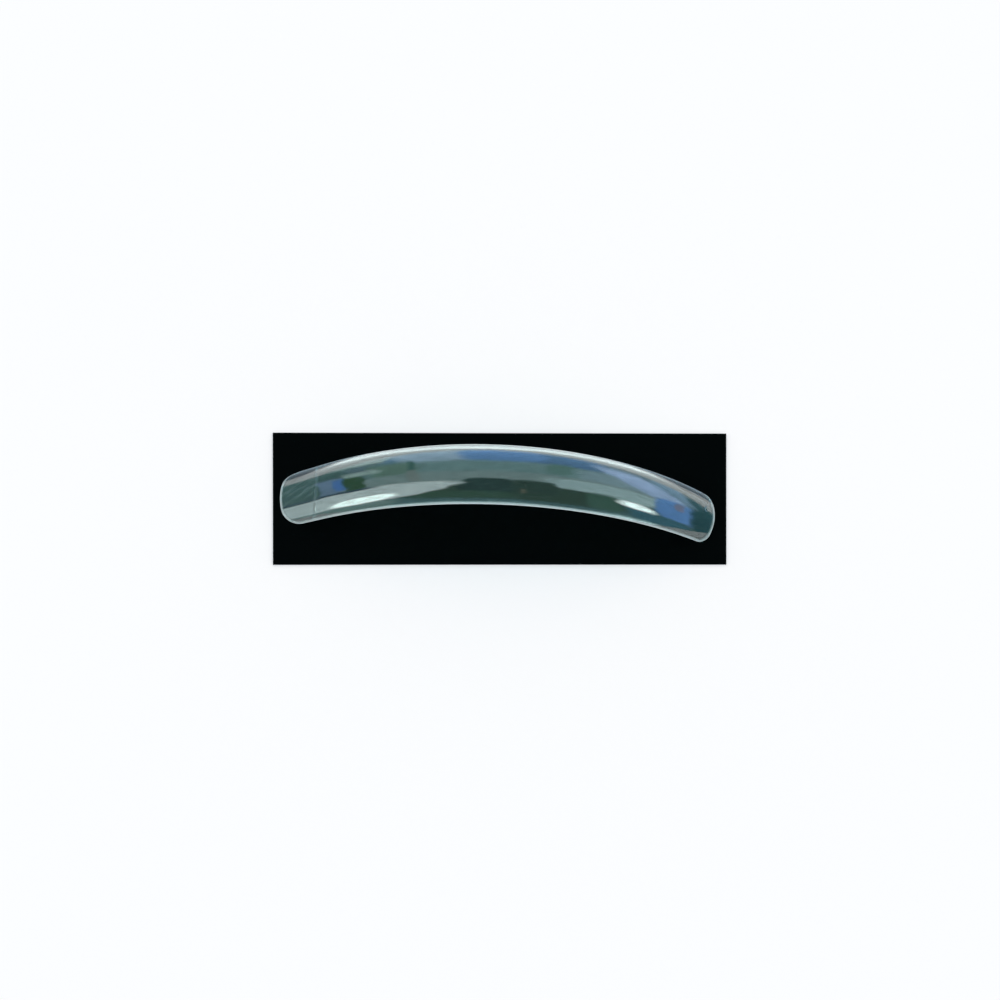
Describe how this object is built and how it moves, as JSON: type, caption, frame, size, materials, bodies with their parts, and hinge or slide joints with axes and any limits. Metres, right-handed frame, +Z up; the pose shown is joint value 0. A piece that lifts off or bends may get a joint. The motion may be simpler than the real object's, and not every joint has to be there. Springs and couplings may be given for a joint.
{
  "type": "artificial nail tip",
  "caption": "Clear, strongly arched channel of thin plastic, open underneath, with a thinner well at one end that fits over a natural nail and rounded corners.",
  "frame": {"origin": "middle of the footprint, on the surface that the tip lies on with its crown up", "axes": "+X from the cuticle end to the free edge, +Y across the tip, +Z up through the crown"},
  "size_m": [0.0638, 0.0096, 0.0135],
  "materials": {
    "clear_plastic": "water-clear polished moulded plastic with a faint cool tint, slightly frosted in the well"
  },
  "bodies": {
    "root": {"nail_tip": "clear_plastic"}
  },
  "joints": []
}
